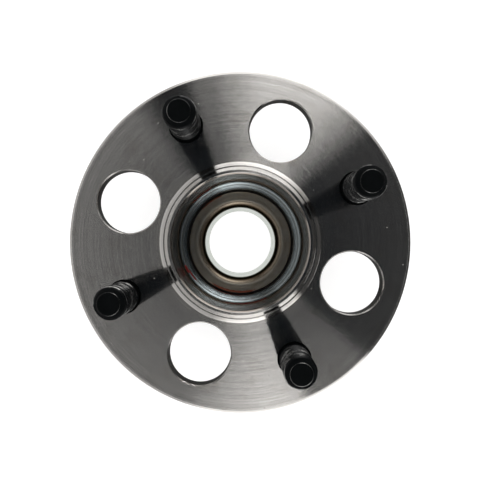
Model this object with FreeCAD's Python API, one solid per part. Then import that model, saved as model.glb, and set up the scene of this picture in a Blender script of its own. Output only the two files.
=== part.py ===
import FreeCAD, Part

import math
import os

from FreeCAD import Vector

# A rear wheel hub bearing for a four-stud passenger car, millimetres, +Z towards the wheel.
# The hub is a forged outer ring that carries the wheel flange. It turns on two rows of balls
# around a pair of inner rings, which a spindle nut clamps on the fixed spindle.
# The origin is the centre of the face that the brake disc and the wheel bolt against,
# and the first stud stands on +X.

# Wheel flange
stud_circle_diameter = 100.0
stud_count = 4
flange_rim_margin = 16.5
flange_thickness = 8.0
flange_edge_chamfer = 1.0
flange_root_radius = 6.0
access_hole_diameter = 24.4
access_hole_circle_inset = 7.6
access_hole_chamfer = 0.45

# Pilots that centre the brake disc and the wheel
wheel_pilot_wall = 3.0
disc_pilot_step = 2.5
disc_pilot_height = 9.7
disc_pilot_chamfer = 1.5
disc_pilot_chamfer_rise = 0.9
wheel_pilot_height = 15.5
wheel_pilot_chamfer = 1.15
pilot_root_groove_width = 0.9
pilot_root_groove_depth = 0.5
cap_seat_depth = 24.5
cap_seat_step = 0.3
cap_seat_chamfer = 0.5

# Barrel behind the flange
barrel_wall = 7.5
barrel_end_step = 1.0
barrel_end_land = 9.5
barrel_end_chamfer = 1.0
barrel_lip = 0.4

# Wheel studs
stud_thread_diameter = 12.0
stud_length = 32.1
stud_point_diameter = 8.2
stud_point_length = 3.4
stud_knurl_diameter = 12.4
stud_knurl_sink = 0.25
stud_head_diameter = 18.0
stud_head_thickness = 4.5
stud_head_rounding = 1.2
stud_hole_chamfer = 0.5
stud_seat_margin = 0.75
stud_seat_depth = 0.3

# Balls, raceways and inner rings
spindle_diameter = 28.0
inner_ring_wall = 2.8735
ball_diameter = 7.938
race_conformity = 0.52
race_clearance = 0.08
contact_angle = 35.0
shoulder_ratio = 0.44
low_land_height = 0.35
row_spacing = 17.0
bearing_centre_depth = 30.5
inner_ring_stand = 1.581
inner_ring_bore_radius = 3.5
inner_ring_edge_radius = 0.4
inner_ring_joint_chamfer = 0.4

# Cages
cage_pocket_clearance = 0.15
cage_least_web = 2.4
cage_back = 1.6
cage_bore_gap = 0.6
cage_shoulder_gap = 0.5
cage_horn_reach = 1.8
cage_slot_width = 0.9
cage_slot_depth = 3.0

# Seals
seal_gap = 0.8
seal_width = 4.4
seal_sheet = 0.8
seal_sleeve_depth = 4.0
seal_rim_width = 1.1
seal_rim_fall = 0.45
seal_rim_slope = 0.55
seal_dish = 0.45
seal_inner_gap = 1.05
seal_lip_clearance = 0.05
seal_edge_round = 0.3
slinger_sheet = 0.6
slinger_gap = 0.3

# Sizes that follow from the ones above
ball_radius = ball_diameter / 2
race_radius = race_conformity * ball_diameter
race_shift = race_radius - ball_radius - race_clearance
lean = math.radians(contact_angle)
spindle_radius = spindle_diameter / 2
inner_race_floor = spindle_radius + inner_ring_wall
pitch_radius = inner_race_floor + race_radius - race_shift * math.cos(lean)
bearing_bore = pitch_radius - race_shift * math.cos(lean) + race_radius
shoulder_height = shoulder_ratio * ball_diameter
inner_shoulder = inner_race_floor + shoulder_height
outer_shoulder = bearing_bore - shoulder_height
inner_low_land = inner_race_floor + low_land_height
row_offset = row_spacing / 2
pocket_radius = ball_radius + cage_pocket_clearance
cage_back_offset = row_offset + pocket_radius + cage_back
seal_offset = cage_back_offset + seal_gap + seal_width
seal_face_drop = seal_rim_slope + seal_dish
inner_ring_offset = seal_offset + inner_ring_stand
barrel_end_offset = seal_offset + barrel_lip
ball_count = int(math.pi / math.asin((pocket_radius + cage_least_web / 2) / pitch_radius))

cap_seat_radius = bearing_bore + cap_seat_step
wheel_pilot_radius = bearing_bore + wheel_pilot_wall
disc_pilot_radius = wheel_pilot_radius + disc_pilot_step
barrel_radius = bearing_bore + barrel_wall
flange_radius = stud_circle_diameter / 2 + flange_rim_margin
stud_hole_radius = stud_knurl_diameter / 2
access_hole_circle_radius = (stud_circle_diameter - access_hole_circle_inset) / 2

OUTBOARD = 1
INBOARD = -1
AXIS = Vector(0, 0, 1)
parts_folder = "parts"


def height(offset, side):
    """Height above the wheel face of a place at this distance from the bearing's centre plane."""
    return -bearing_centre_depth + side * offset


def corner_arc(before, corner, after, radius):
    """The two ends and the middle of the arc that rounds a corner, limited by its two walls."""
    to_before = (before - corner).normalize()
    to_after = (after - corner).normalize()
    half_angle = to_before.getAngle(to_after) / 2
    longest = 0.49 * min((before - corner).Length, (after - corner).Length)
    tangent = min(radius / math.tan(half_angle), longest)
    radius = tangent * math.tan(half_angle)
    middle_way = (to_before + to_after).normalize()
    reach = radius / math.sin(half_angle) - radius
    return corner + to_before * tangent, corner + middle_way * reach, corner + to_after * tangent


def outline_face(corners):
    """Closed face in the half plane of radius and height.

    A corner is (radius, height) or (radius, height, rounding). A corner that ends in the word
    "through" is the middle point of an arc between the corners on either side of it.
    """
    points = [Vector(c[0], 0, c[1]) for c in corners]
    through = [c[-1] == "through" for c in corners]
    total = len(corners)
    arrive, leave, edges = list(points), list(points), []
    for i, c in enumerate(corners):
        if len(c) == 3 and not through[i]:
            before, after = points[i - 1], points[(i + 1) % total]
            arrive[i], middle, leave[i] = corner_arc(before, points[i], after, c[2])
            edges.append(Part.Arc(arrive[i], middle, leave[i]).toShape())
    for i in range(total):
        following = (i + 1) % total
        if through[i]:
            edges.append(Part.Arc(leave[i - 1], points[i], arrive[following]).toShape())
        elif not through[following] and (arrive[following] - leave[i]).Length > 1e-6:
            edges.append(Part.LineSegment(leave[i], arrive[following]).toShape())
    return Part.Face(Part.Wire(Part.__sortEdges__(edges)))


def turned(corners):
    """A piece turned about the hub's axis."""
    return outline_face(corners).revolve(Vector(0, 0, 0), AXIS, 360)


def around(shape, count, first=0.0):
    """Copies of a shape, evenly spaced about the hub's axis."""
    copies = []
    for i in range(count):
        copy = shape.copy()
        copy.rotate(Vector(0, 0, 0), AXIS, first + 360.0 * i / count)
        copies.append(copy)
    return copies


def race_centre(outer):
    """Centre of a raceway's arc, as radius and distance from the centre plane."""
    sign = -1 if outer else 1
    radius = pitch_radius + sign * race_shift * math.cos(lean)
    offset = row_offset - sign * race_shift * math.sin(lean)
    return radius, offset


def race_point(side, outer, angle):
    """A point on a raceway. Angle 0 points away from the axis and 90 away from the centre plane."""
    radius, offset = race_centre(outer)
    a = math.radians(angle)
    return radius + race_radius * math.cos(a), height(offset + race_radius * math.sin(a), side)


def race_edge_angle(outer, land, away):
    """Angle at which a raceway meets a land of this radius, on the side away from the centre plane."""
    radius = race_centre(outer)[0]
    angle = math.degrees(math.acos((land - radius) / race_radius))
    return angle if away else -angle


def outer_race(side):
    """Raceway in the hub: from the bore, where it is tangent, down to the shoulder in the middle."""
    end = race_edge_angle(True, outer_shoulder, away=False)
    return [
        race_point(side, True, 0),
        (*race_point(side, True, end / 2), "through"),
        race_point(side, True, end),
    ]


def hub_outline():
    """Half section of the hub: pilots, flange, barrel and the two raceways."""
    flange_back = -flange_thickness
    pilot_groove = disc_pilot_radius + pilot_root_groove_width
    barrel_end = height(barrel_end_offset, INBOARD)
    land_start = barrel_end + barrel_end_land
    land_radius = barrel_radius - barrel_end_step
    cap_seat_floor = wheel_pilot_height - cap_seat_depth
    front = [
        (cap_seat_radius, wheel_pilot_height - cap_seat_chamfer),
        (cap_seat_radius + cap_seat_chamfer, wheel_pilot_height),
        (wheel_pilot_radius - wheel_pilot_chamfer, wheel_pilot_height, 0.3),
        (wheel_pilot_radius, wheel_pilot_height - wheel_pilot_chamfer, 0.5),
        (wheel_pilot_radius, disc_pilot_height),
        (disc_pilot_radius - disc_pilot_chamfer, disc_pilot_height),
        (disc_pilot_radius, disc_pilot_height - disc_pilot_chamfer_rise, 0.5),
        (disc_pilot_radius, -pilot_root_groove_depth, 0.2),
        (pilot_groove, -pilot_root_groove_depth, 0.2),
        (pilot_groove, 0),
        (flange_radius - flange_edge_chamfer, 0),
        (flange_radius, -flange_edge_chamfer),
    ]
    back = [
        (flange_radius, flange_back + flange_edge_chamfer),
        (flange_radius - flange_edge_chamfer, flange_back),
        (barrel_radius, flange_back, flange_root_radius),
        (barrel_radius, land_start + barrel_end_step),
        (land_radius, land_start, 0.5),
        (land_radius, barrel_end + barrel_end_chamfer),
        (land_radius - barrel_end_chamfer, barrel_end),
        (bearing_bore + seal_edge_round, barrel_end),
        (bearing_bore, barrel_end + seal_edge_round),
    ]
    bore = [
        *outer_race(INBOARD),
        *reversed(outer_race(OUTBOARD)),
        (bearing_bore, cap_seat_floor - cap_seat_step),
        (cap_seat_radius, cap_seat_floor),
    ]
    return front + back + bore


def hub_flange():
    """The forged hub with its stud holes, stud seats and access holes."""
    hub = turned(hub_outline())
    stud_radius = stud_circle_diameter / 2
    seat = -flange_thickness + stud_seat_depth
    hole = Part.makeCylinder(stud_hole_radius, flange_thickness, Vector(stud_radius, 0, -flange_thickness))
    mouth = Part.makeCone(
        stud_hole_radius, stud_hole_radius + stud_hole_chamfer, stud_hole_chamfer,
        Vector(stud_radius, 0, -stud_hole_chamfer),
    )
    head_room = Part.makeCylinder(
        stud_head_diameter / 2 + stud_seat_margin, stud_head_thickness + stud_seat_depth,
        Vector(stud_radius, 0, seat - stud_head_thickness - stud_seat_depth),
    )
    stud_tools = around(hole.fuse([mouth, head_room]), stud_count)
    access_tools = around(access_hole_tool(), stud_count, 180.0 / stud_count)
    return hub.cut(stud_tools + access_tools)


def access_hole_tool():
    """One access hole with a chamfer at both faces. It stops at the barrel, whose wall stays whole."""
    depth = flange_thickness + flange_root_radius
    radius = access_hole_diameter / 2
    place = Vector(access_hole_circle_radius, 0, 0)
    bore = Part.makeCylinder(radius, depth, place - AXIS * depth)
    front = Part.makeCone(
        radius, radius + access_hole_chamfer, access_hole_chamfer, place - AXIS * access_hole_chamfer
    )
    back = Part.makeCone(
        radius + access_hole_chamfer, radius, access_hole_chamfer, place - AXIS * flange_thickness
    )
    barrel = Part.makeCylinder(barrel_radius, depth, Vector(0, 0, -depth))
    return bore.fuse([front, back]).cut(barrel)


def wheel_stud():
    """A stud pressed in from behind: round head, knurled shank, threaded shank and lead-in point."""
    seat = -flange_thickness + stud_seat_depth
    head = stud_head_diameter / 2
    knurl = stud_knurl_diameter / 2
    thread = stud_thread_diameter / 2
    stud = outline_face([
        (0, seat - stud_head_thickness),
        (head, seat - stud_head_thickness, stud_head_rounding),
        (head, seat),
        (knurl, seat),
        (knurl, -stud_knurl_sink),
        (thread, -stud_knurl_sink + (knurl - thread)),
        (thread, stud_length - stud_point_length),
        (stud_point_diameter / 2, stud_length, 0.4),
        (0, stud_length),
    ]).revolve(Vector(0, 0, 0), AXIS, 360)
    stud.translate(Vector(stud_circle_diameter / 2, 0, 0))
    return stud


def inner_ring(side):
    """Half of the split inner ring: high shoulder on the outside, low land at the joint."""
    high = race_edge_angle(False, inner_shoulder, away=True)
    low = race_edge_angle(False, inner_low_land, away=True)
    face = inner_ring_offset
    joint = inner_ring_joint_chamfer
    return turned([
        (spindle_radius, height(joint, side)),
        (spindle_radius, height(face, side), inner_ring_bore_radius),
        (inner_shoulder, height(face, side), inner_ring_edge_radius),
        race_point(side, False, high),
        (*race_point(side, False, (high + 360 - low) / 2), "through"),
        race_point(side, False, 360 - low),
        (inner_low_land, height(0, side), joint),
        (spindle_radius + joint, height(0, side)),
    ])


def ball(side, angle):
    """One ball of a row, at its place on the pitch circle."""
    sphere = Part.makeSphere(ball_radius)
    a = math.radians(angle)
    sphere.translate(Vector(pitch_radius * math.cos(a), pitch_radius * math.sin(a), height(row_offset, side)))
    return sphere


def cage(side):
    """Moulded crown cage: a ring behind the balls, with two horns round each ball."""
    inside = inner_shoulder + cage_shoulder_gap
    outside = bearing_bore - cage_bore_gap
    horn_end = row_offset - cage_horn_reach
    ring_front = row_offset + ball_radius
    horn_inside = inner_race_floor + ball_radius / 2
    ring = turned([
        (inside, height(cage_back_offset, side), 0.4),
        (outside, height(cage_back_offset, side), 0.4),
        (outside, height(ring_front - cage_back, side)),
        (outside - cage_bore_gap, height(horn_end, side), 0.3),
        (horn_inside, height(horn_end, side), 0.3),
        (horn_inside, height(row_offset + ball_radius / 2, side)),
        (inside, height(ring_front, side)),
    ])
    pocket = Part.makeSphere(pocket_radius)
    pocket.translate(Vector(pitch_radius, 0, height(row_offset, side)))
    slot = Part.makeBox(
        bearing_bore, cage_slot_width, cage_slot_depth,
        Vector(0, -cage_slot_width / 2, -cage_slot_depth / 2),
    )
    slot.translate(Vector(0, 0, height(horn_end + cage_slot_depth / 2, side)))
    pockets = around(pocket, ball_count)
    slots = around(slot, ball_count, 180.0 / ball_count)
    return ring.cut(pockets + slots)


def outboard_seal_case():
    """Pressed steel case: a sleeve in the hub's bore, a rounded rim and a dished face with a rolled edge."""
    top = height(seal_offset, OUTBOARD)
    rim_inside = bearing_bore - seal_rim_width
    plate_outside = rim_inside - seal_rim_slope
    inside = inner_shoulder + seal_inner_gap
    plate = top - seal_rim_slope
    edge = top - seal_face_drop
    return turned([
        (bearing_bore, top - seal_sleeve_depth),
        (bearing_bore, top - seal_rim_fall, seal_edge_round),
        (bearing_bore - seal_rim_fall, top, seal_edge_round),
        (rim_inside, top, seal_edge_round),
        (plate_outside, plate, seal_edge_round),
        (inside, edge, seal_sheet / 2),
        (inside, edge - 1.5 * seal_sheet),
        (inside + seal_sheet, edge - 1.5 * seal_sheet),
        (inside + seal_sheet, edge - seal_sheet),
        (plate_outside, plate - seal_sheet),
        (bearing_bore - seal_sheet, plate - seal_sheet),
        (bearing_bore - seal_sheet, top - seal_sleeve_depth),
    ])


def outboard_seal_lip():
    """Rubber bonded under the case's inner edge, with a dust lip and a grease lip on the ring."""
    top = height(seal_offset, OUTBOARD)
    inside = inner_shoulder + seal_inner_gap
    plate = top - seal_face_drop - 1.5 * seal_sheet
    floor = top - seal_width
    tip = inner_shoulder + seal_lip_clearance
    room = plate - floor
    return turned([
        (inside + seal_sheet, plate),
        (inside, plate),
        (tip, plate - 0.15 * room),
        (tip, plate - 0.25 * room),
        (inside - 0.3 * seal_inner_gap, plate - 0.45 * room),
        (tip, plate - 0.85 * room),
        (tip, floor),
        (inside, floor + 0.1 * room),
        (inside + seal_sheet, plate - 0.5 * room),
    ])


def inboard_seal_case():
    """Pressed steel case of the cassette seal: a sleeve in the bore and a flange on the grease side."""
    top = seal_offset
    inside = inner_shoulder + slinger_sheet + seal_inner_gap
    grease_face = top - seal_sleeve_depth
    return turned([
        (bearing_bore, height(top, INBOARD), seal_edge_round),
        (bearing_bore, height(grease_face, INBOARD), seal_sheet),
        (inside, height(grease_face, INBOARD)),
        (inside, height(grease_face + seal_sheet, INBOARD)),
        (bearing_bore - seal_sheet, height(grease_face + seal_sheet, INBOARD), seal_edge_round),
        (bearing_bore - seal_sheet, height(top, INBOARD), seal_edge_round),
    ])


def inboard_slinger():
    """Steel slinger pressed on the inner ring. Its flange covers the rubber lips."""
    top = seal_offset
    sleeve = inner_shoulder + slinger_sheet
    outside = bearing_bore - seal_sheet - slinger_gap
    return turned([
        (inner_shoulder, height(top, INBOARD), seal_edge_round),
        (outside, height(top, INBOARD), slinger_sheet / 3),
        (outside, height(top - slinger_sheet, INBOARD)),
        (sleeve, height(top - slinger_sheet, INBOARD), seal_edge_round),
        (sleeve, height(top - seal_sleeve_depth, INBOARD)),
        (inner_shoulder, height(top - seal_sleeve_depth, INBOARD)),
    ])


def inboard_seal_lip():
    """Rubber bonded to the case: one lip reaches the slinger's flange and two reach its sleeve."""
    floor = seal_offset - seal_sleeve_depth + seal_sheet
    ceiling = seal_offset - slinger_sheet - seal_lip_clearance
    sleeve = inner_shoulder + slinger_sheet
    tip = sleeve + seal_lip_clearance
    inside = sleeve + seal_inner_gap
    outside = bearing_bore - seal_sheet - slinger_gap
    room = ceiling - floor
    across = outside - inside
    return turned([
        (outside, height(floor, INBOARD)),
        (outside, height(floor + 0.2 * room, INBOARD)),
        (outside - 0.35 * across, height(floor + 0.4 * room, INBOARD)),
        (outside - 0.1 * across, height(ceiling, INBOARD)),
        (outside - 0.35 * across, height(ceiling, INBOARD)),
        (inside + 0.2 * across, height(floor + 0.4 * room, INBOARD)),
        (tip, height(floor + 0.75 * room, INBOARD)),
        (tip, height(floor + 0.6 * room, INBOARD)),
        (inside, height(floor + 0.15 * room, INBOARD)),
        (inside, height(floor, INBOARD)),
    ])


def all_parts():
    """Every piece of the hub bearing by its name."""
    parts = {
        "hub_flange": hub_flange(),
        "outboard_inner_ring": inner_ring(OUTBOARD),
        "inboard_inner_ring": inner_ring(INBOARD),
        "outboard_cage": cage(OUTBOARD),
        "inboard_cage": cage(INBOARD),
        "outboard_seal_case": outboard_seal_case(),
        "outboard_seal_lip": outboard_seal_lip(),
        "inboard_seal_case": inboard_seal_case(),
        "inboard_seal_lip": inboard_seal_lip(),
        "inboard_slinger": inboard_slinger(),
    }
    for i, stud in enumerate(around(wheel_stud(), stud_count), 1):
        parts[f"wheel_stud_{i}"] = stud
    for i in range(ball_count):
        angle = 360.0 * i / ball_count
        parts[f"outboard_ball_{i + 1:02d}"] = ball(OUTBOARD, angle)
        parts[f"inboard_ball_{i + 1:02d}"] = ball(INBOARD, angle)
    return parts


os.makedirs(parts_folder, exist_ok=True)
for name, shape in all_parts().items():
    shape.exportStep(os.path.join(parts_folder, f"{name}.step"))
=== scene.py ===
import math

import bmesh
import bpy
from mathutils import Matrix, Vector


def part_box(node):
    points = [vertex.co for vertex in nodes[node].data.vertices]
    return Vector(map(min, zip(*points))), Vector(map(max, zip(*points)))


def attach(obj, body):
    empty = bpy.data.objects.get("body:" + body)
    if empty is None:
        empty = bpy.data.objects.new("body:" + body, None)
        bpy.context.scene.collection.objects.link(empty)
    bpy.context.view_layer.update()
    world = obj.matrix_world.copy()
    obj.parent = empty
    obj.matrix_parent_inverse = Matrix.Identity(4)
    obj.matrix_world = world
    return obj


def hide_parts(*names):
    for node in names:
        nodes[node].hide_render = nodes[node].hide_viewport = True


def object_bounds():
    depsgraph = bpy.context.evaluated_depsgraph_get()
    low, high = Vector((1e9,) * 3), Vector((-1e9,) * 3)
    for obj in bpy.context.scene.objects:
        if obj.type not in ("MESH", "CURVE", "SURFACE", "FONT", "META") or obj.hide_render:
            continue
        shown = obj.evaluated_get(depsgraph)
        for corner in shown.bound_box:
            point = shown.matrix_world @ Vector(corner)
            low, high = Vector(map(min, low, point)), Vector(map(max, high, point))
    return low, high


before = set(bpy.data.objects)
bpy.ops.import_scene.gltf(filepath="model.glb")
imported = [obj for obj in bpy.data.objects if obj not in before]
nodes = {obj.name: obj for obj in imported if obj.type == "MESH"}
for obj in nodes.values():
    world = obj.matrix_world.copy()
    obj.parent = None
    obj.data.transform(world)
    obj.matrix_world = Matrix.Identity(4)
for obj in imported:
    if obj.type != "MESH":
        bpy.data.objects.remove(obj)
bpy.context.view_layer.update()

mm = 0.001


# small helpers

noiseSpan = (0.25, 0.75)       # nearly all of a noise lies between these
noiseCore = (0.3, 0.7)         # and most of it between these


def hexToLinear(code):
    # sRGB hex, as picked in a paint program, to the linear values that the shaders use
    channels = [int(code[i:i + 2], 16) / 255 for i in (1, 3, 5)]
    return [c / 12.92 if c <= 0.04045 else ((c + 0.055) / 1.055) ** 2.4 for c in channels] + [1.0]


def addNode(tree, kind, settings=None, links=None):
    # one node with its settings and its links; a setting is an attribute, an input's name or its number
    node = tree.nodes.new(kind)
    for name, value in (settings or {}).items():
        if isinstance(name, str) and hasattr(node, name):
            setattr(node, name, value)
        else:
            node.inputs[name].default_value = value
    for name, socket in (links or {}).items():
        tree.links.new(socket, node.inputs[name])
    return node


def newMaterial(name):
    material = bpy.data.materials.new(name)
    material.use_nodes = True
    material.node_tree.nodes.clear()
    return material, material.node_tree


def dress(name, material):
    piece = nodes[name]
    piece.data.materials.clear()
    piece.data.materials.append(material)


def addRadius(tree, place):
    # distance from the bearing's axis, the place with its height left out, and the height
    parts = addNode(tree, "ShaderNodeSeparateXYZ", links={0: place})
    level = addNode(tree, "ShaderNodeCombineXYZ", links={0: parts.outputs[0], 1: parts.outputs[1]})
    radius = addNode(tree, "ShaderNodeVectorMath", {"operation": "LENGTH"}, {0: level.outputs[0]})
    return radius.outputs["Value"], level.outputs[0], parts.outputs[2]


def addLean(tree, noise, degrees):
    # slope that follows a noise up to so many degrees on either side
    steepest = math.tan(math.radians(degrees))
    return addNode(tree, "ShaderNodeMapRange",
                   {"From Min": noiseSpan[0], "From Max": noiseSpan[1],
                    "To Min": -steepest, "To Max": steepest},
                   {"Value": noise}).outputs[0]


def addGloss(tree, noise, roughness):
    # roughness that follows a noise from its first value to its second
    return addNode(tree, "ShaderNodeMapRange",
                   {"From Min": noiseCore[0], "From Max": noiseCore[1],
                    "To Min": roughness[0], "To Max": roughness[1]},
                   {"Value": noise}).outputs[0]


turning = {
    "wallTurns": 0.6,          # turns along a wall for one turn across the same length of a face
    "edgeMm": 0.2,             # width over which one finish runs into the next
    "beadCore": 0.8,           # share of a bead's half width that is bent in full
    "waveMm": 1.4,
}


def addTurningMarks(tree, marks):
    # A turning or grinding tool leaves one shallow hollow for each turn, so the surface tips a few
    # degrees to either side of its mean, always across the rings. Each light is drawn out into a
    # radial streak by it. Some rings also lie a little off the mean, which shows as fine lines, and a
    # faint waviness along them makes the edges of the streaks uneven.
    coords = addNode(tree, "ShaderNodeTexCoord")
    radius, level, height = addRadius(tree, coords.outputs["Object"])
    along = addNode(tree, "ShaderNodeMath", {"operation": "MULTIPLY_ADD", 1: -turning["wallTurns"]},
                    {0: height, 2: radius})
    turns = addNode(tree, "ShaderNodeMath", {"operation": "DIVIDE", 1: marks["feedMm"] * mm},
                    {0: along.outputs[0]})
    hollow = addNode(tree, "ShaderNodeMath", {"operation": "FRACT"}, {0: turns.outputs[0]})
    tip = math.tan(math.radians(marks["tipDegrees"]))
    slope = addNode(tree, "ShaderNodeMapRange", {"To Min": -tip, "To Max": tip},
                    {"Value": hollow.outputs[0]})
    rings = addNode(tree, "ShaderNodeTexNoise",
                    {"noise_dimensions": "1D", "Scale": 1 / (marks["ringMm"] * mm), "Detail": 2.0},
                    {"W": along.outputs[0]})
    offset = addLean(tree, rings.outputs[0], marks["ringDegrees"])
    tilt = addNode(tree, "ShaderNodeMath", {"operation": "ADD"}, {0: slope.outputs[0], 1: offset})

    for middle, halfWidth, degrees in marks.get("beads", []):
        # a rolled bead leans the surface outward on its outer side and inward on its inner side
        steepest = math.tan(math.radians(degrees))
        apart = addNode(tree, "ShaderNodeMath", {"operation": "SUBTRACT", 1: middle * mm}, {0: radius})
        bend = addNode(tree, "ShaderNodeMapRange",
                       {"From Min": -halfWidth * mm, "From Max": halfWidth * mm,
                        "To Min": -steepest, "To Max": steepest},
                       {"Value": apart.outputs[0]})
        aside = addNode(tree, "ShaderNodeMath", {"operation": "ABSOLUTE"}, {0: apart.outputs[0]})
        inside = addNode(tree, "ShaderNodeMapRange",
                         {"From Min": halfWidth * mm, "From Max": halfWidth * turning["beadCore"] * mm},
                         {"Value": aside.outputs[0]})
        tilt = addNode(tree, "ShaderNodeMath", {"operation": "MULTIPLY_ADD"},
                       {0: bend.outputs[0], 1: inside.outputs[0], 2: tilt.outputs[0]})

    # a ground bore and the rim's chamfer keep only a share of the tilt
    edge = turning["edgeMm"]
    boreMm, rimMm = marks.get("boreRadiusMm", 0.0), marks.get("rimRadiusMm", 0.0)
    bore = addNode(tree, "ShaderNodeMapRange",
                   {"From Min": boreMm * mm, "From Max": (boreMm + edge) * mm,
                    "To Min": marks.get("boreShare", 1.0)},
                   {"Value": radius})
    rim = addNode(tree, "ShaderNodeMapRange",
                  {"From Min": rimMm * mm, "From Max": (rimMm + edge) * mm,
                   "To Min": 1.0, "To Max": marks.get("rimShare", 1.0)},
                  {"Value": radius})
    share = addNode(tree, "ShaderNodeMath", {"operation": "MULTIPLY"},
                    {0: bore.outputs[0], 1: rim.outputs[0]})
    total = addNode(tree, "ShaderNodeMath", {"operation": "MULTIPLY"},
                    {0: tilt.outputs[0], 1: share.outputs[0]})

    # the tilt goes across the grooves and the waviness along them
    ahead = addNode(tree, "ShaderNodeVectorMath", {"operation": "CROSS_PRODUCT", 0: (0, 0, 1)}, {1: level})
    groove = addNode(tree, "ShaderNodeVectorMath", {"operation": "NORMALIZE"}, {0: ahead.outputs[0]})
    across = addNode(tree, "ShaderNodeVectorMath", {"operation": "CROSS_PRODUCT"},
                     {0: groove.outputs[0], 1: coords.outputs["Normal"]})
    push = addNode(tree, "ShaderNodeVectorMath", {"operation": "SCALE"},
                   {0: across.outputs[0], "Scale": total.outputs[0]})
    waves = addNode(tree, "ShaderNodeTexNoise", {"Scale": 1 / (turning["waveMm"] * mm), "Detail": 3.0},
                    {"Vector": coords.outputs["Object"]})
    drift = addLean(tree, waves.outputs[0], marks["waveDegrees"])
    sway = addNode(tree, "ShaderNodeVectorMath", {"operation": "SCALE"},
                   {0: groove.outputs[0], "Scale": drift})
    turned = addNode(tree, "ShaderNodeVectorMath", {"operation": "ADD"},
                     {0: push.outputs[0], 1: sway.outputs[0]})
    tilted = addNode(tree, "ShaderNodeVectorMath", {"operation": "ADD"},
                     {0: coords.outputs["Normal"], 1: turned.outputs[0]})
    normal = addNode(tree, "ShaderNodeVectorTransform",
                     {"vector_type": "NORMAL", "convert_from": "OBJECT", "convert_to": "WORLD"},
                     {0: tilted.outputs[0]})
    return normal.outputs[0], rings.outputs[0], coords


oldGrease = {
    "raggedMm": 0.7,           # size of the tatters along its edges
    "endCore": 0.4,            # share of a smear's half angle that is full of grease
    "sideCore": 0.3,           # and of its half width
    "coverage": (0.75, 1.15),  # smear plus noise where the film begins and where it is closed
    "roughness": 0.3,
    "coat": 0.4,
}


def addGrease(tree, place, metal, piece):
    # Old grease lies over the metal as a soft shiny film. A smear is (middle angle, half angle,
    # radius, half width), in degrees from the first stud and in millimetres.
    radius = addRadius(tree, place)[0]
    ragged = addNode(tree, "ShaderNodeTexNoise",
                     {"Scale": 1 / (oldGrease["raggedMm"] * mm), "Detail": 4.0, "Roughness": 0.7},
                     {"Vector": place})
    smeared = None
    for middle, halfAngle, distance, halfWidth in piece["smears"]:
        turned = addNode(tree, "ShaderNodeVectorRotate",
                         {"rotation_type": "Z_AXIS", "Angle": -math.radians(middle)}, {"Vector": place})
        parts = addNode(tree, "ShaderNodeSeparateXYZ", links={0: turned.outputs[0]})
        angle = addNode(tree, "ShaderNodeMath", {"operation": "ARCTAN2"},
                        {0: parts.outputs[1], 1: parts.outputs[0]})
        swing = addNode(tree, "ShaderNodeMath", {"operation": "ABSOLUTE"}, {0: angle.outputs[0]})
        ends = addNode(tree, "ShaderNodeMapRange",
                       {"From Min": math.radians(halfAngle),
                        "From Max": math.radians(halfAngle * oldGrease["endCore"])},
                       {"Value": swing.outputs[0]})
        apart = addNode(tree, "ShaderNodeMath", {"operation": "SUBTRACT", 1: distance * mm}, {0: radius})
        aside = addNode(tree, "ShaderNodeMath", {"operation": "ABSOLUTE"}, {0: apart.outputs[0]})
        sides = addNode(tree, "ShaderNodeMapRange",
                        {"From Min": halfWidth * mm, "From Max": halfWidth * oldGrease["sideCore"] * mm},
                        {"Value": aside.outputs[0]})
        patch = addNode(tree, "ShaderNodeMath", {"operation": "MULTIPLY"},
                        {0: ends.outputs[0], 1: sides.outputs[0]})
        if smeared:
            patch = addNode(tree, "ShaderNodeMath", {"operation": "MAXIMUM"},
                            {0: smeared.outputs[0], 1: patch.outputs[0]})
        smeared = patch
    uneven = addNode(tree, "ShaderNodeMath", {"operation": "ADD"},
                     {0: smeared.outputs[0], 1: ragged.outputs[0]})
    cover = addNode(tree, "ShaderNodeMapRange",
                    {"interpolation_type": "SMOOTHSTEP", "From Min": oldGrease["coverage"][0],
                     "From Max": oldGrease["coverage"][1]},
                    {"Value": uneven.outputs[0]})
    wet = addNode(tree, "ShaderNodeBsdfPrincipled",
                  {"Base Color": hexToLinear(piece["greaseColour"]), "Roughness": oldGrease["roughness"],
                   "IOR": 1.47, "Coat Weight": oldGrease["coat"]})
    film = addNode(tree, "ShaderNodeMixShader", links={0: cover.outputs[0], 1: metal, 2: wet.outputs[0]})
    return film.outputs[0]


# hub

hubSteel = {
    "colour": "#cac7c3",
    "stainColour": "#8f8474",
    "stainMm": 14,
    "stainLevels": (0.48, 0.75),   # noise at which a stain begins and is strongest
    "stain": 0.25,                 # the most that a stain covers
    "speckMm": 1.1,                # small dark specks, in the colour of the stains
    "speckLevels": (0.70, 0.78),
    "speck": 0.5,
    "ringTone": (0.92, 1.07),      # darkest and lightest of the fine lines
    "roughness": (0.11, 0.16),
    "stretch": 0.8,                # anisotropy, from marks too fine to draw
    "feedMm": 0.23,                # distance between turning marks, drawn coarse enough to show
    "tipDegrees": 16,
    "ringMm": 0.9,
    "ringDegrees": 0.35,
    "waveDegrees": 0.5,
    "boreRadiusMm": 25.6,          # inside this the bores are ground, not turned
    "boreShare": 0.25,             # how much of the turning marks' tilt is left there
    "boreColour": "#b3aaa1",
    "rimRadiusMm": 65.4,           # beyond this lies the chamfer of the rim
    "rimShare": 0.2,
    "barrelColour": "#7d766f",     # the barrel behind the flange, turned once and left to tarnish
    "barrelRoughness": 0.3,
    "barrelTopMm": -8.5,
    "barrelFadeMm": 1.0,
    "holeShadeColour": "#2b2926",       # walls of the access holes, never faced after drilling: painted dark and non-metal as shade
    "holeRoughness": 0.6,          # added to that of the face
    "holeRadiiMm": (33.2, 59.0),   # they lie between these
    "wallSteepness": 0.3,          # a surface whose normal rises less than this is a wall
    "dustColour": "#b7b3ab",
    "dustApartMm": 6.0,
    "dustMm": 0.23,                # radius of the largest speck
}


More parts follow.
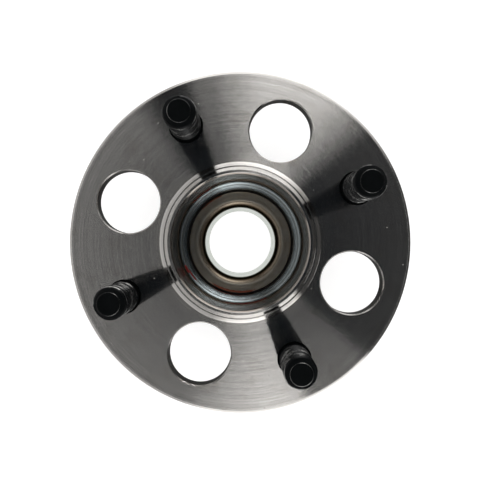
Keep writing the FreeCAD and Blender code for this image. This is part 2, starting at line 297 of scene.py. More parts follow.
def makeTurnedSteel():
    # Forged carbon steel, faced and turned bright on a lathe and left bare: a hard grey mirror drawn
    # out across fine rings, dulled in patches by handling and a trace of rust.
    material, tree = newMaterial("turnedForgedSteel")
    normal, rings, coords = addTurningMarks(tree, hubSteel)
    place = coords.outputs["Object"]
    radius, _, height = addRadius(tree, place)

    # the turned face, with stains, dark specks and lighter and darker lines
    patches = addNode(tree, "ShaderNodeTexNoise",
                      {"Scale": 1 / (hubSteel["stainMm"] * mm), "Detail": 6.0, "Roughness": 0.62},
                      {"Vector": place})
    stain = addNode(tree, "ShaderNodeMapRange",
                    {"interpolation_type": "SMOOTHSTEP", "From Min": hubSteel["stainLevels"][0],
                     "From Max": hubSteel["stainLevels"][1], "To Max": hubSteel["stain"]},
                    {"Value": patches.outputs[0]})
    specks = addNode(tree, "ShaderNodeTexNoise", {"Scale": 1 / (hubSteel["speckMm"] * mm), "Detail": 2.0},
                     {"Vector": place})
    dots = addNode(tree, "ShaderNodeMapRange",
                   {"From Min": hubSteel["speckLevels"][0], "From Max": hubSteel["speckLevels"][1],
                    "To Max": hubSteel["speck"]},
                   {"Value": specks.outputs[0]})
    dirt = addNode(tree, "ShaderNodeMath", {"operation": "MAXIMUM"},
                   {0: stain.outputs[0], 1: dots.outputs[0]})
    face = addNode(tree, "ShaderNodeMix",
                   {"data_type": "RGBA", 6: hexToLinear(hubSteel["colour"]),
                    7: hexToLinear(hubSteel["stainColour"])},
                   {0: dirt.outputs[0]})
    tone = addNode(tree, "ShaderNodeMapRange",
                   {"From Min": noiseSpan[0], "From Max": noiseSpan[1],
                    "To Min": hubSteel["ringTone"][0], "To Max": hubSteel["ringTone"][1]},
                   {"Value": rings})
    ringed = addNode(tree, "ShaderNodeVectorMath", {"operation": "SCALE"},
                     {0: face.outputs[2], "Scale": tone.outputs[0]})

    # the ground bores, and the tarnished barrel behind the flange
    outside = addNode(tree, "ShaderNodeMapRange",
                      {"From Min": hubSteel["boreRadiusMm"] * mm,
                       "From Max": (hubSteel["boreRadiusMm"] + turning["edgeMm"]) * mm},
                      {"Value": radius})
    bored = addNode(tree, "ShaderNodeMix", {"data_type": "RGBA", 6: hexToLinear(hubSteel["boreColour"])},
                    {0: outside.outputs[0], 7: ringed.outputs[0]})
    behind = addNode(tree, "ShaderNodeMapRange",
                     {"From Min": hubSteel["barrelTopMm"] * mm,
                      "From Max": (hubSteel["barrelTopMm"] - hubSteel["barrelFadeMm"]) * mm},
                     {"Value": height})
    barrel = addNode(tree, "ShaderNodeMath", {"operation": "MULTIPLY"},
                     {0: behind.outputs[0], 1: outside.outputs[0]})
    tarnish = addNode(tree, "ShaderNodeMix", {"data_type": "RGBA", 7: hexToLinear(hubSteel["barrelColour"])},
                      {0: barrel.outputs[0], 6: bored.outputs[2]})

    # the walls of the access holes, painted dark and non-metal as shade
    inner, outer = hubSteel["holeRadiiMm"]
    past = addNode(tree, "ShaderNodeMath", {"operation": "GREATER_THAN", 1: inner * mm}, {0: radius})
    before = addNode(tree, "ShaderNodeMath", {"operation": "LESS_THAN", 1: outer * mm}, {0: radius})
    between = addNode(tree, "ShaderNodeMath", {"operation": "MULTIPLY"},
                      {0: past.outputs[0], 1: before.outputs[0]})
    facing = addNode(tree, "ShaderNodeSeparateXYZ", links={0: coords.outputs["Normal"]})
    rise = addNode(tree, "ShaderNodeMath", {"operation": "ABSOLUTE"}, {0: facing.outputs[2]})
    upright = addNode(tree, "ShaderNodeMath", {"operation": "LESS_THAN", 1: hubSteel["wallSteepness"]},
                      {0: rise.outputs[0]})
    wall = addNode(tree, "ShaderNodeMath", {"operation": "MULTIPLY"},
                   {0: between.outputs[0], 1: upright.outputs[0]})
    shadedHoleWalls = addNode(tree, "ShaderNodeMix", {"data_type": "RGBA", 7: hexToLinear(hubSteel["holeShadeColour"])},
                      {0: wall.outputs[0], 6: tarnish.outputs[2]})

    # dust: small balls in space, one in each cell, that show where the surface cuts them
    cells = addNode(tree, "ShaderNodeTexVoronoi", {"Scale": 1 / (hubSteel["dustApartMm"] * mm)},
                    {"Vector": place})
    reach = hubSteel["dustMm"] / hubSteel["dustApartMm"]
    dust = addNode(tree, "ShaderNodeMapRange", {"From Min": reach, "From Max": reach * 0.5},
                   {"Value": cells.outputs["Distance"]})
    dusty = addNode(tree, "ShaderNodeMix", {"data_type": "RGBA", 7: hexToLinear(hubSteel["dustColour"])},
                    {0: dust.outputs[0], 6: shadedHoleWalls.outputs[2]})

    # neither the dust nor the painted shade on the hole walls is metal
    dustAndShadedWall = addNode(tree, "ShaderNodeMath", {"operation": "MAXIMUM"},
                      {0: wall.outputs[0], 1: dust.outputs[0]})
    metal = addNode(tree, "ShaderNodeMath", {"operation": "SUBTRACT", 0: 1.0}, {1: dustAndShadedWall.outputs[0]})
    gloss = addGloss(tree, patches.outputs[0], hubSteel["roughness"])
    satin = addNode(tree, "ShaderNodeMix", {3: hubSteel["barrelRoughness"]},
                    {0: barrel.outputs[0], 2: gloss})
    finish = addNode(tree, "ShaderNodeMath", {"operation": "MULTIPLY_ADD", 1: hubSteel["holeRoughness"]},
                     {0: wall.outputs[0], 2: satin.outputs[0]})
    tangent = addNode(tree, "ShaderNodeTangent", {"direction_type": "RADIAL", "axis": "Z"})
    shader = addNode(tree, "ShaderNodeBsdfPrincipled",
                     {"Anisotropic": hubSteel["stretch"], "Anisotropic Rotation": 0.25},
                     {"Base Color": dusty.outputs[2], "Metallic": metal.outputs[0],
                      "Roughness": finish.outputs[0], "Normal": normal, "Tangent": tangent.outputs[0]})
    addNode(tree, "ShaderNodeOutputMaterial", links={"Surface": shader.outputs[0]})
    return material


dress("hub_flange", makeTurnedSteel())
print("hub done")


# inner rings

ringSteel = {
    "colour": "#b8b7ae",
    "filmColour": "#8a7154",
    "filmMm": 5,
    "filmLevels": (0.35, 0.75),
    "film": 0.4,                   # the most that the film covers on the face
    "filmRadiiMm": (17.6, 16.4),   # it thickens from the first radius in to the second
    "roundingFilm": 0.6,
    "roughness": (0.36, 0.46),
    "feedMm": 0.15,                # grinding marks, drawn coarse enough to show
    "tipDegrees": 5,
    "ringMm": 0.6,
    "ringDegrees": 1.0,
    "waveDegrees": 0.5,
    "beads": [(17.55, 1.0, 13)],   # the bore's rounding runs out softly into the face
    "wallColour": "#a9b0a5",       # the bore's wall, wiped clean of oil
    "wallRoughness": 0.3,
    "wallRadiiMm": (14.03, 14.13), # where the wall gives way to the rounding
    "shadeBandColour": "#2f2616",        # painted shade: a dark band where the bore's rounding begins, for the dark that it mirrors there
    # the painted shade band at the rounding's start runs between these radii
    "oilRadiiMm": (14.8, 16.6),
    "roundingRoughness": 0.15,
    "roundingRadiiMm": (15.4, 16.9),   # where the rounding gives way to the face
    "greaseColour": "#6e3318",
    "smears": [(236, 34, 20.1, 0.9), (100, 20, 20.3, 0.5)],
}


def makeGroundSteel():
    # Through-hardened bearing steel, ground fine: a tight satin that stays dark where no light faces it
    # under a brown film of storage oil that gathers in the rounding of the bore, with painted shade where
    # that rounding begins.
    material, tree = newMaterial("groundBearingSteel")
    normal, _, coords = addTurningMarks(tree, ringSteel)
    place = coords.outputs["Object"]
    radius = addRadius(tree, place)[0]

    patches = addNode(tree, "ShaderNodeTexNoise",
                      {"Scale": 1 / (ringSteel["filmMm"] * mm), "Detail": 5.0, "Roughness": 0.6},
                      {"Vector": place})
    film = addNode(tree, "ShaderNodeMapRange",
                   {"From Min": ringSteel["filmLevels"][0], "From Max": ringSteel["filmLevels"][1],
                    "To Max": ringSteel["film"]},
                   {"Value": patches.outputs[0]})
    thicker = addNode(tree, "ShaderNodeMapRange",
                      {"interpolation_type": "SMOOTHSTEP", "From Min": ringSteel["filmRadiiMm"][0] * mm,
                       "From Max": ringSteel["filmRadiiMm"][1] * mm, "To Max": ringSteel["roundingFilm"]},
                      {"Value": radius})
    cover = addNode(tree, "ShaderNodeMath", {"operation": "MAXIMUM"},
                    {0: film.outputs[0], 1: thicker.outputs[0]})
    face = addNode(tree, "ShaderNodeMix",
                   {"data_type": "RGBA", 6: hexToLinear(ringSteel["colour"]),
                    7: hexToLinear(ringSteel["filmColour"])},
                   {0: cover.outputs[0]})

    # from the inside out: the bore's wall, painted shade at the start of its rounding, and the face
    past = {}
    for zone in ("wall", "oil", "rounding"):
        start, end = ringSteel[zone + "RadiiMm"]
        past[zone] = addNode(tree, "ShaderNodeMapRange", {"From Min": start * mm, "From Max": end * mm},
                             {"Value": radius}).outputs[0]
    # the oil zone is painted shade: a dark band where the rounding begins
    oiled = addNode(tree, "ShaderNodeMix", {"data_type": "RGBA", 6: hexToLinear(ringSteel["shadeBandColour"])},
                    {0: past["oil"], 7: face.outputs[2]})
    tint = addNode(tree, "ShaderNodeMix", {"data_type": "RGBA", 6: hexToLinear(ringSteel["wallColour"])},
                   {0: past["wall"], 7: oiled.outputs[2]})
    gloss = addGloss(tree, patches.outputs[0], ringSteel["roughness"])
    rounded = addNode(tree, "ShaderNodeMix", {2: ringSteel["roundingRoughness"]},
                      {0: past["rounding"], 3: gloss})
    finish = addNode(tree, "ShaderNodeMix", {2: ringSteel["wallRoughness"]},
                     {0: past["wall"], 3: rounded.outputs[0]})
    shader = addNode(tree, "ShaderNodeBsdfPrincipled", {"Metallic": 1.0},
                     {"Base Color": tint.outputs[2], "Roughness": finish.outputs[0], "Normal": normal})
    addNode(tree, "ShaderNodeOutputMaterial",
            links={"Surface": addGrease(tree, place, shader.outputs[0], ringSteel)})
    return material


groundSteel = makeGroundSteel()
for name in ("outboard_inner_ring", "inboard_inner_ring"):
    dress(name, groundSteel)
print("inner rings done")


# seals

sealSheet = {
    "colour": "#c2cbcd",
    "dullColour": "#98a2a4",
    "dullMm": 2.5,
    "roughness": (0.17, 0.23),
    "feedMm": 0.13,                # spinning marks, drawn coarse enough to show
    "tipDegrees": 13,
    "ringMm": 0.45,
    "ringDegrees": 4,
    "waveDegrees": 0.8,
    "beads": [(21.45, 0.4, 24), (23.25, 0.65, 22), (24.6, 0.7, 24)],   # radius, half width, steepest lean
    "greaseColour": "#7d150d",
    "smears": [(182, 6, 24.1, 0.6), (190, 9, 23.5, 0.4), (232, 30, 21.3, 0.35), (250, 28, 24.9, 0.3),
               (104, 16, 24.9, 0.3)],
}


def makeZincSheet():
    # Cold-rolled sheet, deep drawn and spun to shape, then zinc plated and passivated clear: a bluish
    # satin with faint drawing rings.
    material, tree = newMaterial("zincPlatedSheet")
    normal, _, coords = addTurningMarks(tree, sealSheet)
    place = coords.outputs["Object"]
    patches = addNode(tree, "ShaderNodeTexNoise",
                      {"Scale": 1 / (sealSheet["dullMm"] * mm), "Detail": 5.0, "Roughness": 0.65},
                      {"Vector": place})
    colour = addNode(tree, "ShaderNodeMix",
                     {"data_type": "RGBA", 6: hexToLinear(sealSheet["colour"]),
                      7: hexToLinear(sealSheet["dullColour"])},
                     {0: patches.outputs[0]})
    gloss = addGloss(tree, patches.outputs[0], sealSheet["roughness"])
    shader = addNode(tree, "ShaderNodeBsdfPrincipled", {"Metallic": 1.0},
                     {"Base Color": colour.outputs[2], "Roughness": gloss, "Normal": normal})
    addNode(tree, "ShaderNodeOutputMaterial",
            links={"Surface": addGrease(tree, place, shader.outputs[0], sealSheet)})
    return material


sealRubber = {
    "colour": "#161616",
    "bloomColour": "#2c2b29",
    "bloomMm": 3,
    "grainMm": 0.35,               # grain of the mould, drawn coarse enough to show
    "grainDepthMm": 0.03,
    "roughness": 0.55,
}


def makeSealRubber():
    # Nitrile rubber, moulded and bonded to the case: matt black with a faint grey bloom.
    material, tree = newMaterial("nitrileRubber")
    place = addNode(tree, "ShaderNodeTexCoord").outputs["Object"]
    grain = addNode(tree, "ShaderNodeTexNoise", {"Scale": 1 / (sealRubber["grainMm"] * mm), "Detail": 3.0},
                    {"Vector": place})
    bloom = addNode(tree, "ShaderNodeTexNoise", {"Scale": 1 / (sealRubber["bloomMm"] * mm), "Detail": 4.0},
                    {"Vector": place})
    colour = addNode(tree, "ShaderNodeMix",
                     {"data_type": "RGBA", 6: hexToLinear(sealRubber["colour"]),
                      7: hexToLinear(sealRubber["bloomColour"])},
                     {0: bloom.outputs[0]})
    bump = addNode(tree, "ShaderNodeBump", {"Strength": 0.4, "Distance": sealRubber["grainDepthMm"] * mm},
                   {"Height": grain.outputs[0]})
    shader = addNode(tree, "ShaderNodeBsdfPrincipled", {"Roughness": sealRubber["roughness"], "IOR": 1.52},
                     {"Base Color": colour.outputs[2], "Normal": bump.outputs[0]})
    addNode(tree, "ShaderNodeOutputMaterial", links={"Surface": shader.outputs[0]})
    return material


zincSheet = makeZincSheet()
rubber = makeSealRubber()
for name in ("outboard_seal_case", "inboard_seal_case", "inboard_slinger"):
    dress(name, zincSheet)
for name in ("outboard_seal_lip", "inboard_seal_lip"):
    dress(name, rubber)
print("seals done")


# balls and cages

ballSteel = {
    "colour": "#d6d5d2",
    "roughness": (0.04, 0.1),
    "filmColour": "#9c8a6c",
    "filmMm": 3,
    "filmLevels": (0.45, 0.7),
    "film": 0.6,
}


def makeBallSteel():
    # Chrome steel balls, lapped to a mirror, with a thin uneven coat of grease.
    material, tree = newMaterial("lappedChromeSteel")
    place = addNode(tree, "ShaderNodeTexCoord").outputs["Object"]
    film = addNode(tree, "ShaderNodeTexNoise",
                   {"Scale": 1 / (ballSteel["filmMm"] * mm), "Detail": 4.0, "Roughness": 0.6},
                   {"Vector": place})
    cover = addNode(tree, "ShaderNodeMapRange",
                    {"From Min": ballSteel["filmLevels"][0], "From Max": ballSteel["filmLevels"][1],
                     "To Max": ballSteel["film"]},
                    {"Value": film.outputs[0]})
    colour = addNode(tree, "ShaderNodeMix",
                     {"data_type": "RGBA", 6: hexToLinear(ballSteel["colour"]),
                      7: hexToLinear(ballSteel["filmColour"])},
                     {0: cover.outputs[0]})
    low, high = ballSteel["roughness"]
    gloss = addNode(tree, "ShaderNodeMapRange", {"To Min": low, "To Max": high}, {"Value": film.outputs[0]})
    shader = addNode(tree, "ShaderNodeBsdfPrincipled", {"Metallic": 1.0},
                     {"Base Color": colour.outputs[2], "Roughness": gloss.outputs[0]})
    addNode(tree, "ShaderNodeOutputMaterial", links={"Surface": shader.outputs[0]})
    return material


cageNylon = {
    "colour": "#cdbd94",
    "fibreColour": "#b39f70",
    "fibreMm": 0.5,                # streaks of fibre, drawn coarse enough to show
    "fibreDepthMm": 0.02,
    "roughness": 0.42,
    "glowMm": 0.5,                 # how far light spreads inside
}


def makeCageNylon():
    # Polyamide 66 with glass fibre, injection moulded: warm cream, slightly see-through at thin edges,
    # with the fibre showing as a fine streaky grain.
    material, tree = newMaterial("glassFilledNylon")
    place = addNode(tree, "ShaderNodeTexCoord").outputs["Object"]
    fibres = addNode(tree, "ShaderNodeTexNoise",
                     {"Scale": 1 / (cageNylon["fibreMm"] * mm), "Detail": 5.0, "Roughness": 0.7,
                      "Distortion": 0.8},
                     {"Vector": place})
    colour = addNode(tree, "ShaderNodeMix",
                     {"data_type": "RGBA", 6: hexToLinear(cageNylon["colour"]),
                      7: hexToLinear(cageNylon["fibreColour"])},
                     {0: fibres.outputs[0]})
    bump = addNode(tree, "ShaderNodeBump", {"Strength": 0.3, "Distance": cageNylon["fibreDepthMm"] * mm},
                   {"Height": fibres.outputs[0]})
    shader = addNode(tree, "ShaderNodeBsdfPrincipled",
                     {"Roughness": cageNylon["roughness"], "IOR": 1.53, "Subsurface Weight": 0.1,
                      "Subsurface Scale": cageNylon["glowMm"] * mm},
                     {"Base Color": colour.outputs[2], "Normal": bump.outputs[0]})
    addNode(tree, "ShaderNodeOutputMaterial", links={"Surface": shader.outputs[0]})
    return material


lappedSteel = makeBallSteel()
nylon = makeCageNylon()
for name in nodes:
    if "_ball_" in name:
        dress(name, lappedSteel)
    elif name.endswith("_cage"):
        dress(name, nylon)
print("balls and cages done")


# wheel studs

stud = {
    "threadMm": 12.0,
    "pitchMm": 1.5,
    "plainMm": 2.6,                # plain shank from the wheel face up to the thread's run-out
    "runOutMm": 2.0,
    "pointMm": 8.2,
    "pointLengthMm": 3.4,
    "pointRoundingMm": 0.4,
    "knurlMm": 12.4,
    "knurlDepthMm": 0.25,
    "knurlSinkMm": 0.25,           # the knurl ends this far below the wheel face
    "headThicknessMm": 4.5,
    "headRoundingMm": 1.2,
    "splines": 36,                 # the shank is drawn with two steps for each spline
    "sharpDegrees": 38,
    "turnDegrees": 97,             # each stud was pressed in with its thread turned another way
    "colour": "#060707",
    "dryColour": "#101213",
    "crystalMm": 0.5,              # phosphate crystals, drawn coarse enough to show
    "crystalDepthMm": 0.05,
    "roughness": (0.2, 0.3),
    "oilMm": 5,
    "oiled": (0.3, 0.6),           # share of the crystals that is drowned in oil and mirrors
    "oilOnWear": (0.05, 1.4),      # how much of that shows where nothing and where everything is rubbed
    "wornColour": "#a3a29f",
    "wornRoughness": 0.3,
    "wornLevels": (0.5, 0.75),     # wear at which bare metal begins to show and takes over
    "wornRaggedness": 0.3,
    "headWear": 0.8,               # wear of the coating, from none to 1, on the head's rounding
    "seatWear": 0.4,
    "knurlWear": 0.3,
    "crestWear": 0.7,              # on the thread's crests
    "nutWear": 0.15,               # what nuts add to that halfway up the thread
    "shoulderWear": 1.0,           # where the point begins
    "shoulderMm": 0.3,             # how far in from the crests that reaches
    "edgeWear": 0.95,              # on the point's edge
    "flatWear": 0.2,               # on the border of its flat end
}


def studRows(low, high, headRadius):
    # rings of the stud from the head's back up to the point, as lists of (radius, height, wear)
    steps = stud["splines"] * 2
    thread, knurl, point = stud["threadMm"] / 2, stud["knurlMm"] / 2, stud["pointMm"] / 2
    pitch, rounding = stud["pitchMm"], stud["headRoundingMm"]
    depth = 0.6134 * pitch         # of a metric thread
    seat = low + stud["headThicknessMm"]
    pointFoot = high - stud["pointLengthMm"]
    cone = (thread - point) / stud["pointLengthMm"]

    def ring(radius, height, worn=0.0):
        return [(radius, height, worn)] * (steps + 1)

    def splined(height):
        radii = (knurl, knurl - stud["knurlDepthMm"])
        return [(radii[i % 2], height, stud["knurlWear"]) for i in range(steps + 1)]

    rows = [ring(0, low), ring(headRadius * 0.5, low)]
    roundingSteps = 5
    for i in range(roundingSteps + 1):
        turn = math.radians(90 * i / roundingSteps)
        rows.append(ring(headRadius - rounding + rounding * math.sin(turn),
                         low + rounding - rounding * math.cos(turn), stud["headWear"] * math.sin(2 * turn)))
    rows += [ring(headRadius, seat, stud["seatWear"]), ring(knurl, seat)]

    # the splines start just above the seat and end in a short taper below the wheel face
    knurlTop = -stud["knurlSinkMm"]
    rows += [splined(seat + 0.05), splined(knurlTop - 0.2), ring(thread, knurlTop + knurl - thread)]

    # the thread's rings follow the helix, as (share of the pitch, share of the depth): two on the crest,
    # three round the root
    profile = [(0.0, 0.0), (0.125, 0.0), (0.4375, 0.95), (0.5625, 1.0), (0.6875, 0.95)]
    start = stud["plainMm"]
    end = pointFoot + (depth + 0.15) / cone      # a little past where the cone cuts the thread's root
    for turn in range(-1, math.ceil((end - start) / pitch) + 1):
        for place, share in profile:
            row = []
            for i in range(steps + 1):
                height = start + (turn + place + i / steps) * pitch
                height = min(max(height, start), end)
                fade = min((height - start) / stud["runOutMm"], 1.0)
                body = thread - max(height - pointFoot, 0.0) * cone
                radius = min(body, thread - depth * share * fade)
                if share > 0:
                    worn = 0.0
                elif body < thread:
                    worn = stud["shoulderWear"] if body > thread - stud["shoulderMm"] else 0.0
                else:
                    nuts = stud["nutWear"] * math.sin(math.pi * (height - start) / (end - start))
                    worn = (stud["crestWear"] + nuts) * fade
                row.append((radius, height, worn))
            rows.append(row)

    # the point's edge is rounded in two steps, with its middle a little inside the sharp corner
    lean = math.atan(cone)
    reach = stud["pointRoundingMm"] * math.tan((math.pi / 2 - lean) / 2)
    rows += [ring(point + reach * math.sin(lean), high - reach * math.cos(lean)),
             ring(point - reach * 0.12, high - reach * 0.2, stud["edgeWear"]),
             ring(point - reach, high, stud["flatWear"])]
    rows += [ring(point - reach - 0.5, high), ring(point * 0.4, high), ring(0, high)]
    return rows


def buildStud(name, number, material):
    low, high = [Vector(corner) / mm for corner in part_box(name)]
    middle = (low + high) / 2
    mesh = bpy.data.meshes.new(name + "Threaded")
    piece = bpy.data.objects.new("threadedStud" + str(number), mesh)
    bpy.context.scene.collection.objects.link(piece)
    form = bmesh.new()
    wear = form.verts.layers.float.new("wear")
    steps = stud["splines"] * 2
    grid = []
    for row in studRows(low.z, high.z, (high.x - low.x) / 2):
        line = []
        for i, (radius, height, worn) in enumerate(row):
            turn = 2 * math.pi * i / steps
            vert = form.verts.new((radius * math.cos(turn) * mm, radius * math.sin(turn) * mm, height * mm))
            vert[wear] = worn
            line.append(vert)
        grid.append(line)
    for lower, upper in zip(grid, grid[1:]):
        for i in range(steps):
            form.faces.new((lower[i], lower[i + 1], upper[i + 1], upper[i]))
    bmesh.ops.remove_doubles(form, verts=form.verts, dist=0.001 * mm)
    bmesh.ops.recalc_face_normals(form, faces=form.faces)
    form.to_mesh(mesh)
    form.free()
    mesh.shade_smooth()
    mesh.set_sharp_from_angle(angle=math.radians(stud["sharpDegrees"]))
    mesh.materials.append(material)
    piece.location = (middle.x * mm, middle.y * mm, 0)
    piece.rotation_euler = (0, 0, math.radians(stud["turnDegrees"] * number))
    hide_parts(name)
    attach(piece, "hub")


def makePhosphatedSteel():
    # Rolled-thread alloy steel, phosphated and oiled: a soft crystalline black that rubs through to
    # grey metal on the crests and on the rim of the point.
    material, tree = newMaterial("phosphatedSteel")
    place = addNode(tree, "ShaderNodeTexCoord").outputs["Object"]
    seed = addNode(tree, "ShaderNodeObjectInfo").outputs["Random"]
    crystals = addNode(tree, "ShaderNodeTexNoise",
                       {"noise_dimensions": "4D", "Scale": 1 / (stud["crystalMm"] * mm), "Detail": 4.0,
                        "Roughness": 0.7},
                       {"Vector": place, "W": seed})
    patches = addNode(tree, "ShaderNodeTexNoise",
                      {"noise_dimensions": "4D", "Scale": 1 / (stud["oilMm"] * mm), "Detail": 3.0},
                      {"Vector": place, "W": seed})
    colour = addNode(tree, "ShaderNodeMix",
                     {"data_type": "RGBA", 6: hexToLinear(stud["colour"]), 7: hexToLinear(stud["dryColour"])},
                     {0: patches.outputs[0]})
    gloss = addGloss(tree, crystals.outputs[0], stud["roughness"])
    bump = addNode(tree, "ShaderNodeBump", {"Strength": 0.35, "Distance": stud["crystalDepthMm"] * mm},
                   {"Height": crystals.outputs[0]})
    oily = addNode(tree, "ShaderNodeBsdfPrincipled", {"IOR": 1.47},
                   {"Base Color": colour.outputs[2], "Roughness": gloss, "Normal": bump.outputs[0]})
    matt = addNode(tree, "ShaderNodeBsdfDiffuse",
                   links={"Color": colour.outputs[2], "Normal": bump.outputs[0]})

    # the oil stays where the coating has been rubbed smooth
    least, most = stud["oiled"]
    oil = addNode(tree, "ShaderNodeMapRange",
                  {"From Min": noiseCore[0], "From Max": noiseCore[1], "To Min": most, "To Max": least},
                  {"Value": patches.outputs[0]})
    wear = addNode(tree, "ShaderNodeAttribute", {"attribute_name": "wear"}).outputs["Fac"]
    rubbing = addNode(tree, "ShaderNodeMapRange",
                      {"To Min": stud["oilOnWear"][0], "To Max": stud["oilOnWear"][1]}, {"Value": wear})
    sheen = addNode(tree, "ShaderNodeMath", {"operation": "MULTIPLY"},
                    {0: oil.outputs[0], 1: rubbing.outputs[0]})
    coating = addNode(tree, "ShaderNodeMixShader",
                      links={0: sheen.outputs[0], 1: matt.outputs[0], 2: oily.outputs[0]})

    bare = addNode(tree, "ShaderNodeBsdfPrincipled",
                   {"Base Color": hexToLinear(stud["wornColour"]), "Metallic": 1.0,
                    "Roughness": stud["wornRoughness"]},
                   {"Normal": bump.outputs[0]})
    rubbed = addNode(tree, "ShaderNodeMath", {"operation": "MULTIPLY"}, {0: wear, 1: patches.outputs[0]})
    ragged = addNode(tree, "ShaderNodeMath", {"operation": "MULTIPLY_ADD", 1: stud["wornRaggedness"]},
                     {0: crystals.outputs[0], 2: rubbed.outputs[0]})
    through = addNode(tree, "ShaderNodeMapRange",
                      {"interpolation_type": "SMOOTHSTEP", "From Min": stud["wornLevels"][0],
                       "From Max": stud["wornLevels"][1]},
                      {"Value": ragged.outputs[0]})
    surface = addNode(tree, "ShaderNodeMixShader",
                      links={0: through.outputs[0], 1: coating.outputs[0], 2: bare.outputs[0]})
    addNode(tree, "ShaderNodeOutputMaterial", links={"Surface": surface.outputs[0]})
    return material


phosphate = makePhosphatedSteel()
for number in range(1, 5):
    buildStud("wheel_stud_" + str(number), number, phosphate)
print("studs done")


# camera, looking straight down on the wheel face as the photograph does

shot = {
    "distanceMm": 270,
    "lens": 52.05,                 # in mm, for a picture 36 mm wide
    "firstStudTurn": 25.0,         # degrees from the picture's right to the +X stud
    "rightMm": -0.07,              # how far the picture's middle lies to the right of the axis
    "upMm": 0.92,                  # and above it
}


def addCamera():
    turn = math.radians(shot["firstStudTurn"])
    right = Vector((math.cos(turn), -math.sin(turn), 0))
    up = Vector((math.sin(turn), math.cos(turn), 0))
    data = bpy.data.cameras.new("camera")
    data.lens = shot["lens"]
    data.sensor_width = 36
    data.clip_start = 0.01
    camera = bpy.data.objects.new("camera", data)
    camera.location = (right * shot["rightMm"] + up * shot["upMm"] + Vector((0, 0, shot["distanceMm"]))) * mm
    camera.rotation_euler = (0, 0, -turn)
    bpy.context.scene.collection.objects.link(camera)
    bpy.context.scene.camera = camera


addCamera()
print("camera done")


# floor and light tent

studio = {
    "tentRadiusMm": 450,
    "floorRadiusMm": 180,
    "floorGrey": 0.8,              # what the floor throws back on the part
    "floorSeenGrey": 0.7,          # what is seen of it beside its own light, which carries the shadow
    "floorWhite": (1.0, 0.57),     # a light table, brightest in its middle
    "floorMiddleMm": (22, 34),
    "glow": 4.8,                   # strength of the tent's light
    "ceiling": "#080a0c",
    "ceilingTilt": (29, 31),       # degrees from straight up: the dark place round the camera
    "ceilingPull": 0.15,           # how much further it reaches on the picture's right
    "wallTilt": (52, 60),          # where the upper light gives way to the walls
    # what the lamps and dark panels outside leave on the cloth: greys of 80, 60, 40, 20 and 10 percent
    "cloth": {"lamp": "#cccccc", "glare": "#999999", "plain": "#666666", "dim": "#333333",
              "panel": "#1a1a1a"},
    # where they stand round the tent, in degrees counterclockwise from the picture's right: a lamp at
    # the upper right and one at the bottom, a narrow panel by the upper left stud, a dark room on the
    # right, and the same further down
    "high": [(0, "dim"), (40, "dim"), (60, "lamp"), (80, "lamp"), (100, "plain"), (105, "plain"),
             (110, "panel"), (120, "panel"), (130, "plain"), (250, "plain"), (280, "lamp"),
             (290, "lamp"), (295, "plain"), (315, "plain"), (320, "dim"), (360, "dim")],
    "low": [(0, "panel"), (25, "panel"), (55, "glare"), (105, "glare"), (115, "plain"), (250, "plain"),
            (260, "glare"), (315, "glare"), (320, "panel"), (360, "panel")],
}


def setRamp(ramp, stops):
    # stops are (degrees round the tent, what is on the cloth there)
    ramp.interpolation = "LINEAR"
    while len(ramp.elements) > 1:
        ramp.elements.remove(ramp.elements[-1])
    ramp.elements[0].position = stops[0][0] / 360
    ramp.elements[0].color = hexToLinear(studio["cloth"][stops[0][1]])
    for degrees, name in stops[1:]:
        ramp.elements.new(degrees / 360).color = hexToLinear(studio["cloth"][name])


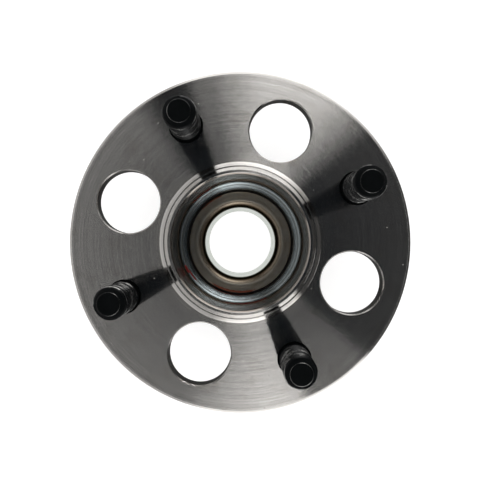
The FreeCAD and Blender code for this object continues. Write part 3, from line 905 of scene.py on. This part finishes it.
def makeTentCloth():
    # White tent cloth, lit from outside by lamps and shaded by dark panels, for the steel to mirror.
    material, tree = newMaterial("tentCloth")
    place = addNode(tree, "ShaderNodeTexCoord").outputs["Object"]
    turned = addNode(tree, "ShaderNodeVectorRotate",
                     {"rotation_type": "Z_AXIS", "Angle": math.radians(shot["firstStudTurn"])},
                     {"Vector": place})
    parts = addNode(tree, "ShaderNodeSeparateXYZ", links={0: turned.outputs[0]})
    angle = addNode(tree, "ShaderNodeMath", {"operation": "ARCTAN2"},
                    {0: parts.outputs[1], 1: parts.outputs[0]})
    turns = addNode(tree, "ShaderNodeMath", {"operation": "DIVIDE", 1: 2 * math.pi}, {0: angle.outputs[0]})
    around = addNode(tree, "ShaderNodeMath", {"operation": "FRACT"}, {0: turns.outputs[0]})
    upper = addNode(tree, "ShaderNodeValToRGB", links={0: around.outputs[0]})
    setRamp(upper.color_ramp, studio["high"])
    lower = addNode(tree, "ShaderNodeValToRGB", links={0: around.outputs[0]})
    setRamp(lower.color_ramp, studio["low"])

    away = addNode(tree, "ShaderNodeVectorMath", {"operation": "NORMALIZE"}, {0: turned.outputs[0]})
    aim = addNode(tree, "ShaderNodeSeparateXYZ", links={0: away.outputs[0]})
    tilt = addNode(tree, "ShaderNodeMath", {"operation": "ARCCOSINE"}, {0: aim.outputs[2]})
    start, end = [math.radians(degrees) for degrees in studio["wallTilt"]]
    walls = addNode(tree, "ShaderNodeMapRange",
                    {"interpolation_type": "SMOOTHSTEP", "From Min": start, "From Max": end},
                    {"Value": tilt.outputs[0]})
    sides = addNode(tree, "ShaderNodeMix", {"data_type": "RGBA"},
                    {0: walls.outputs[0], 6: upper.outputs[0], 7: lower.outputs[0]})
    toRight = addNode(tree, "ShaderNodeMath", {"operation": "MAXIMUM", 1: 0.0}, {0: aim.outputs[0]})
    pulled = addNode(tree, "ShaderNodeMath", {"operation": "MULTIPLY_ADD", 1: -studio["ceilingPull"]},
                     {0: toRight.outputs[0], 2: tilt.outputs[0]})
    start, end = [math.radians(degrees) for degrees in studio["ceilingTilt"]]
    opening = addNode(tree, "ShaderNodeMapRange",
                      {"interpolation_type": "SMOOTHSTEP", "From Min": start, "From Max": end},
                      {"Value": pulled.outputs[0]})
    colour = addNode(tree, "ShaderNodeMix", {"data_type": "RGBA", 6: hexToLinear(studio["ceiling"])},
                     {0: opening.outputs[0], 7: sides.outputs[2]})
    glow = addNode(tree, "ShaderNodeEmission", {"Strength": studio["glow"]}, {"Color": colour.outputs[2]})
    addNode(tree, "ShaderNodeOutputMaterial", links={"Surface": glow.outputs[0]})
    return material


def whiteForCamera(tree, plain, white):
    # white to the camera and to mirrors, and the plain surface to everything else
    path = addNode(tree, "ShaderNodeLightPath")
    either = addNode(tree, "ShaderNodeMath", {"operation": "MAXIMUM"},
                     {0: path.outputs["Is Camera Ray"], 1: path.outputs["Is Glossy Ray"]})
    seen = addNode(tree, "ShaderNodeMath", {"operation": "MAXIMUM"},
                   {0: either.outputs[0], 1: path.outputs["Is Transmission Ray"]})
    return addNode(tree, "ShaderNodeMixShader", links={0: seen.outputs[0], 1: plain, 2: white}).outputs[0]


def makeLightTable():
    # Opal acrylic sheet with lamps below it: a clean white, brightest in its middle, that still shows
    # a soft shadow.
    material, tree = newMaterial("opalAcrylic")
    plain = addNode(tree, "ShaderNodeBsdfDiffuse", {"Color": [studio["floorGrey"]] * 3 + [1]})
    seen = addNode(tree, "ShaderNodeBsdfDiffuse", {"Color": [studio["floorSeenGrey"]] * 3 + [1]})
    place = addNode(tree, "ShaderNodeTexCoord").outputs["Object"]
    radius = addNode(tree, "ShaderNodeVectorMath", {"operation": "LENGTH"}, {0: place}).outputs["Value"]
    near, far = studio["floorMiddleMm"]
    middle, around = studio["floorWhite"]
    white = addNode(tree, "ShaderNodeMapRange",
                    {"From Min": near * mm, "From Max": far * mm, "To Min": middle, "To Max": around},
                    {"Value": radius})
    glow = addNode(tree, "ShaderNodeEmission", links={"Strength": white.outputs[0]})
    lit = addNode(tree, "ShaderNodeAddShader", links={0: seen.outputs[0], 1: glow.outputs[0]})
    surface = whiteForCamera(tree, plain.outputs[0], lit.outputs[0])
    addNode(tree, "ShaderNodeOutputMaterial", links={"Surface": surface})
    return material


def addFloor():
    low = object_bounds()[0].z
    bpy.ops.mesh.primitive_circle_add(vertices=96, radius=studio["floorRadiusMm"] * mm,
                                      fill_type="NGON", location=(0, 0, low))
    floor = bpy.context.object
    floor.name = "floor"
    floor.data.materials.append(makeLightTable())


def addTent():
    bpy.ops.mesh.primitive_uv_sphere_add(segments=64, ring_count=32,
                                         radius=studio["tentRadiusMm"] * mm, location=(0, 0, 0))
    tent = bpy.context.object
    tent.name = "lightTent"
    cloth = makeTentCloth()
    cloth.cycles.emission_sampling = "NONE"
    tent.data.materials.append(cloth)
    tent.visible_camera = False
    tent.visible_diffuse = False
    tent.visible_shadow = False


def addWorld():
    world = bpy.data.worlds.new("studio")
    world.use_nodes = True
    bpy.context.scene.world = world
    tree = world.node_tree
    tree.nodes.clear()
    air = addNode(tree, "ShaderNodeBackground", {"Color": (1, 1, 1, 1), "Strength": 1.0})
    addNode(tree, "ShaderNodeOutputWorld", links={"Surface": air.outputs[0]})


addFloor()
addTent()
addWorld()
bpy.context.scene.view_settings.view_transform = "Standard"
print("studio done")
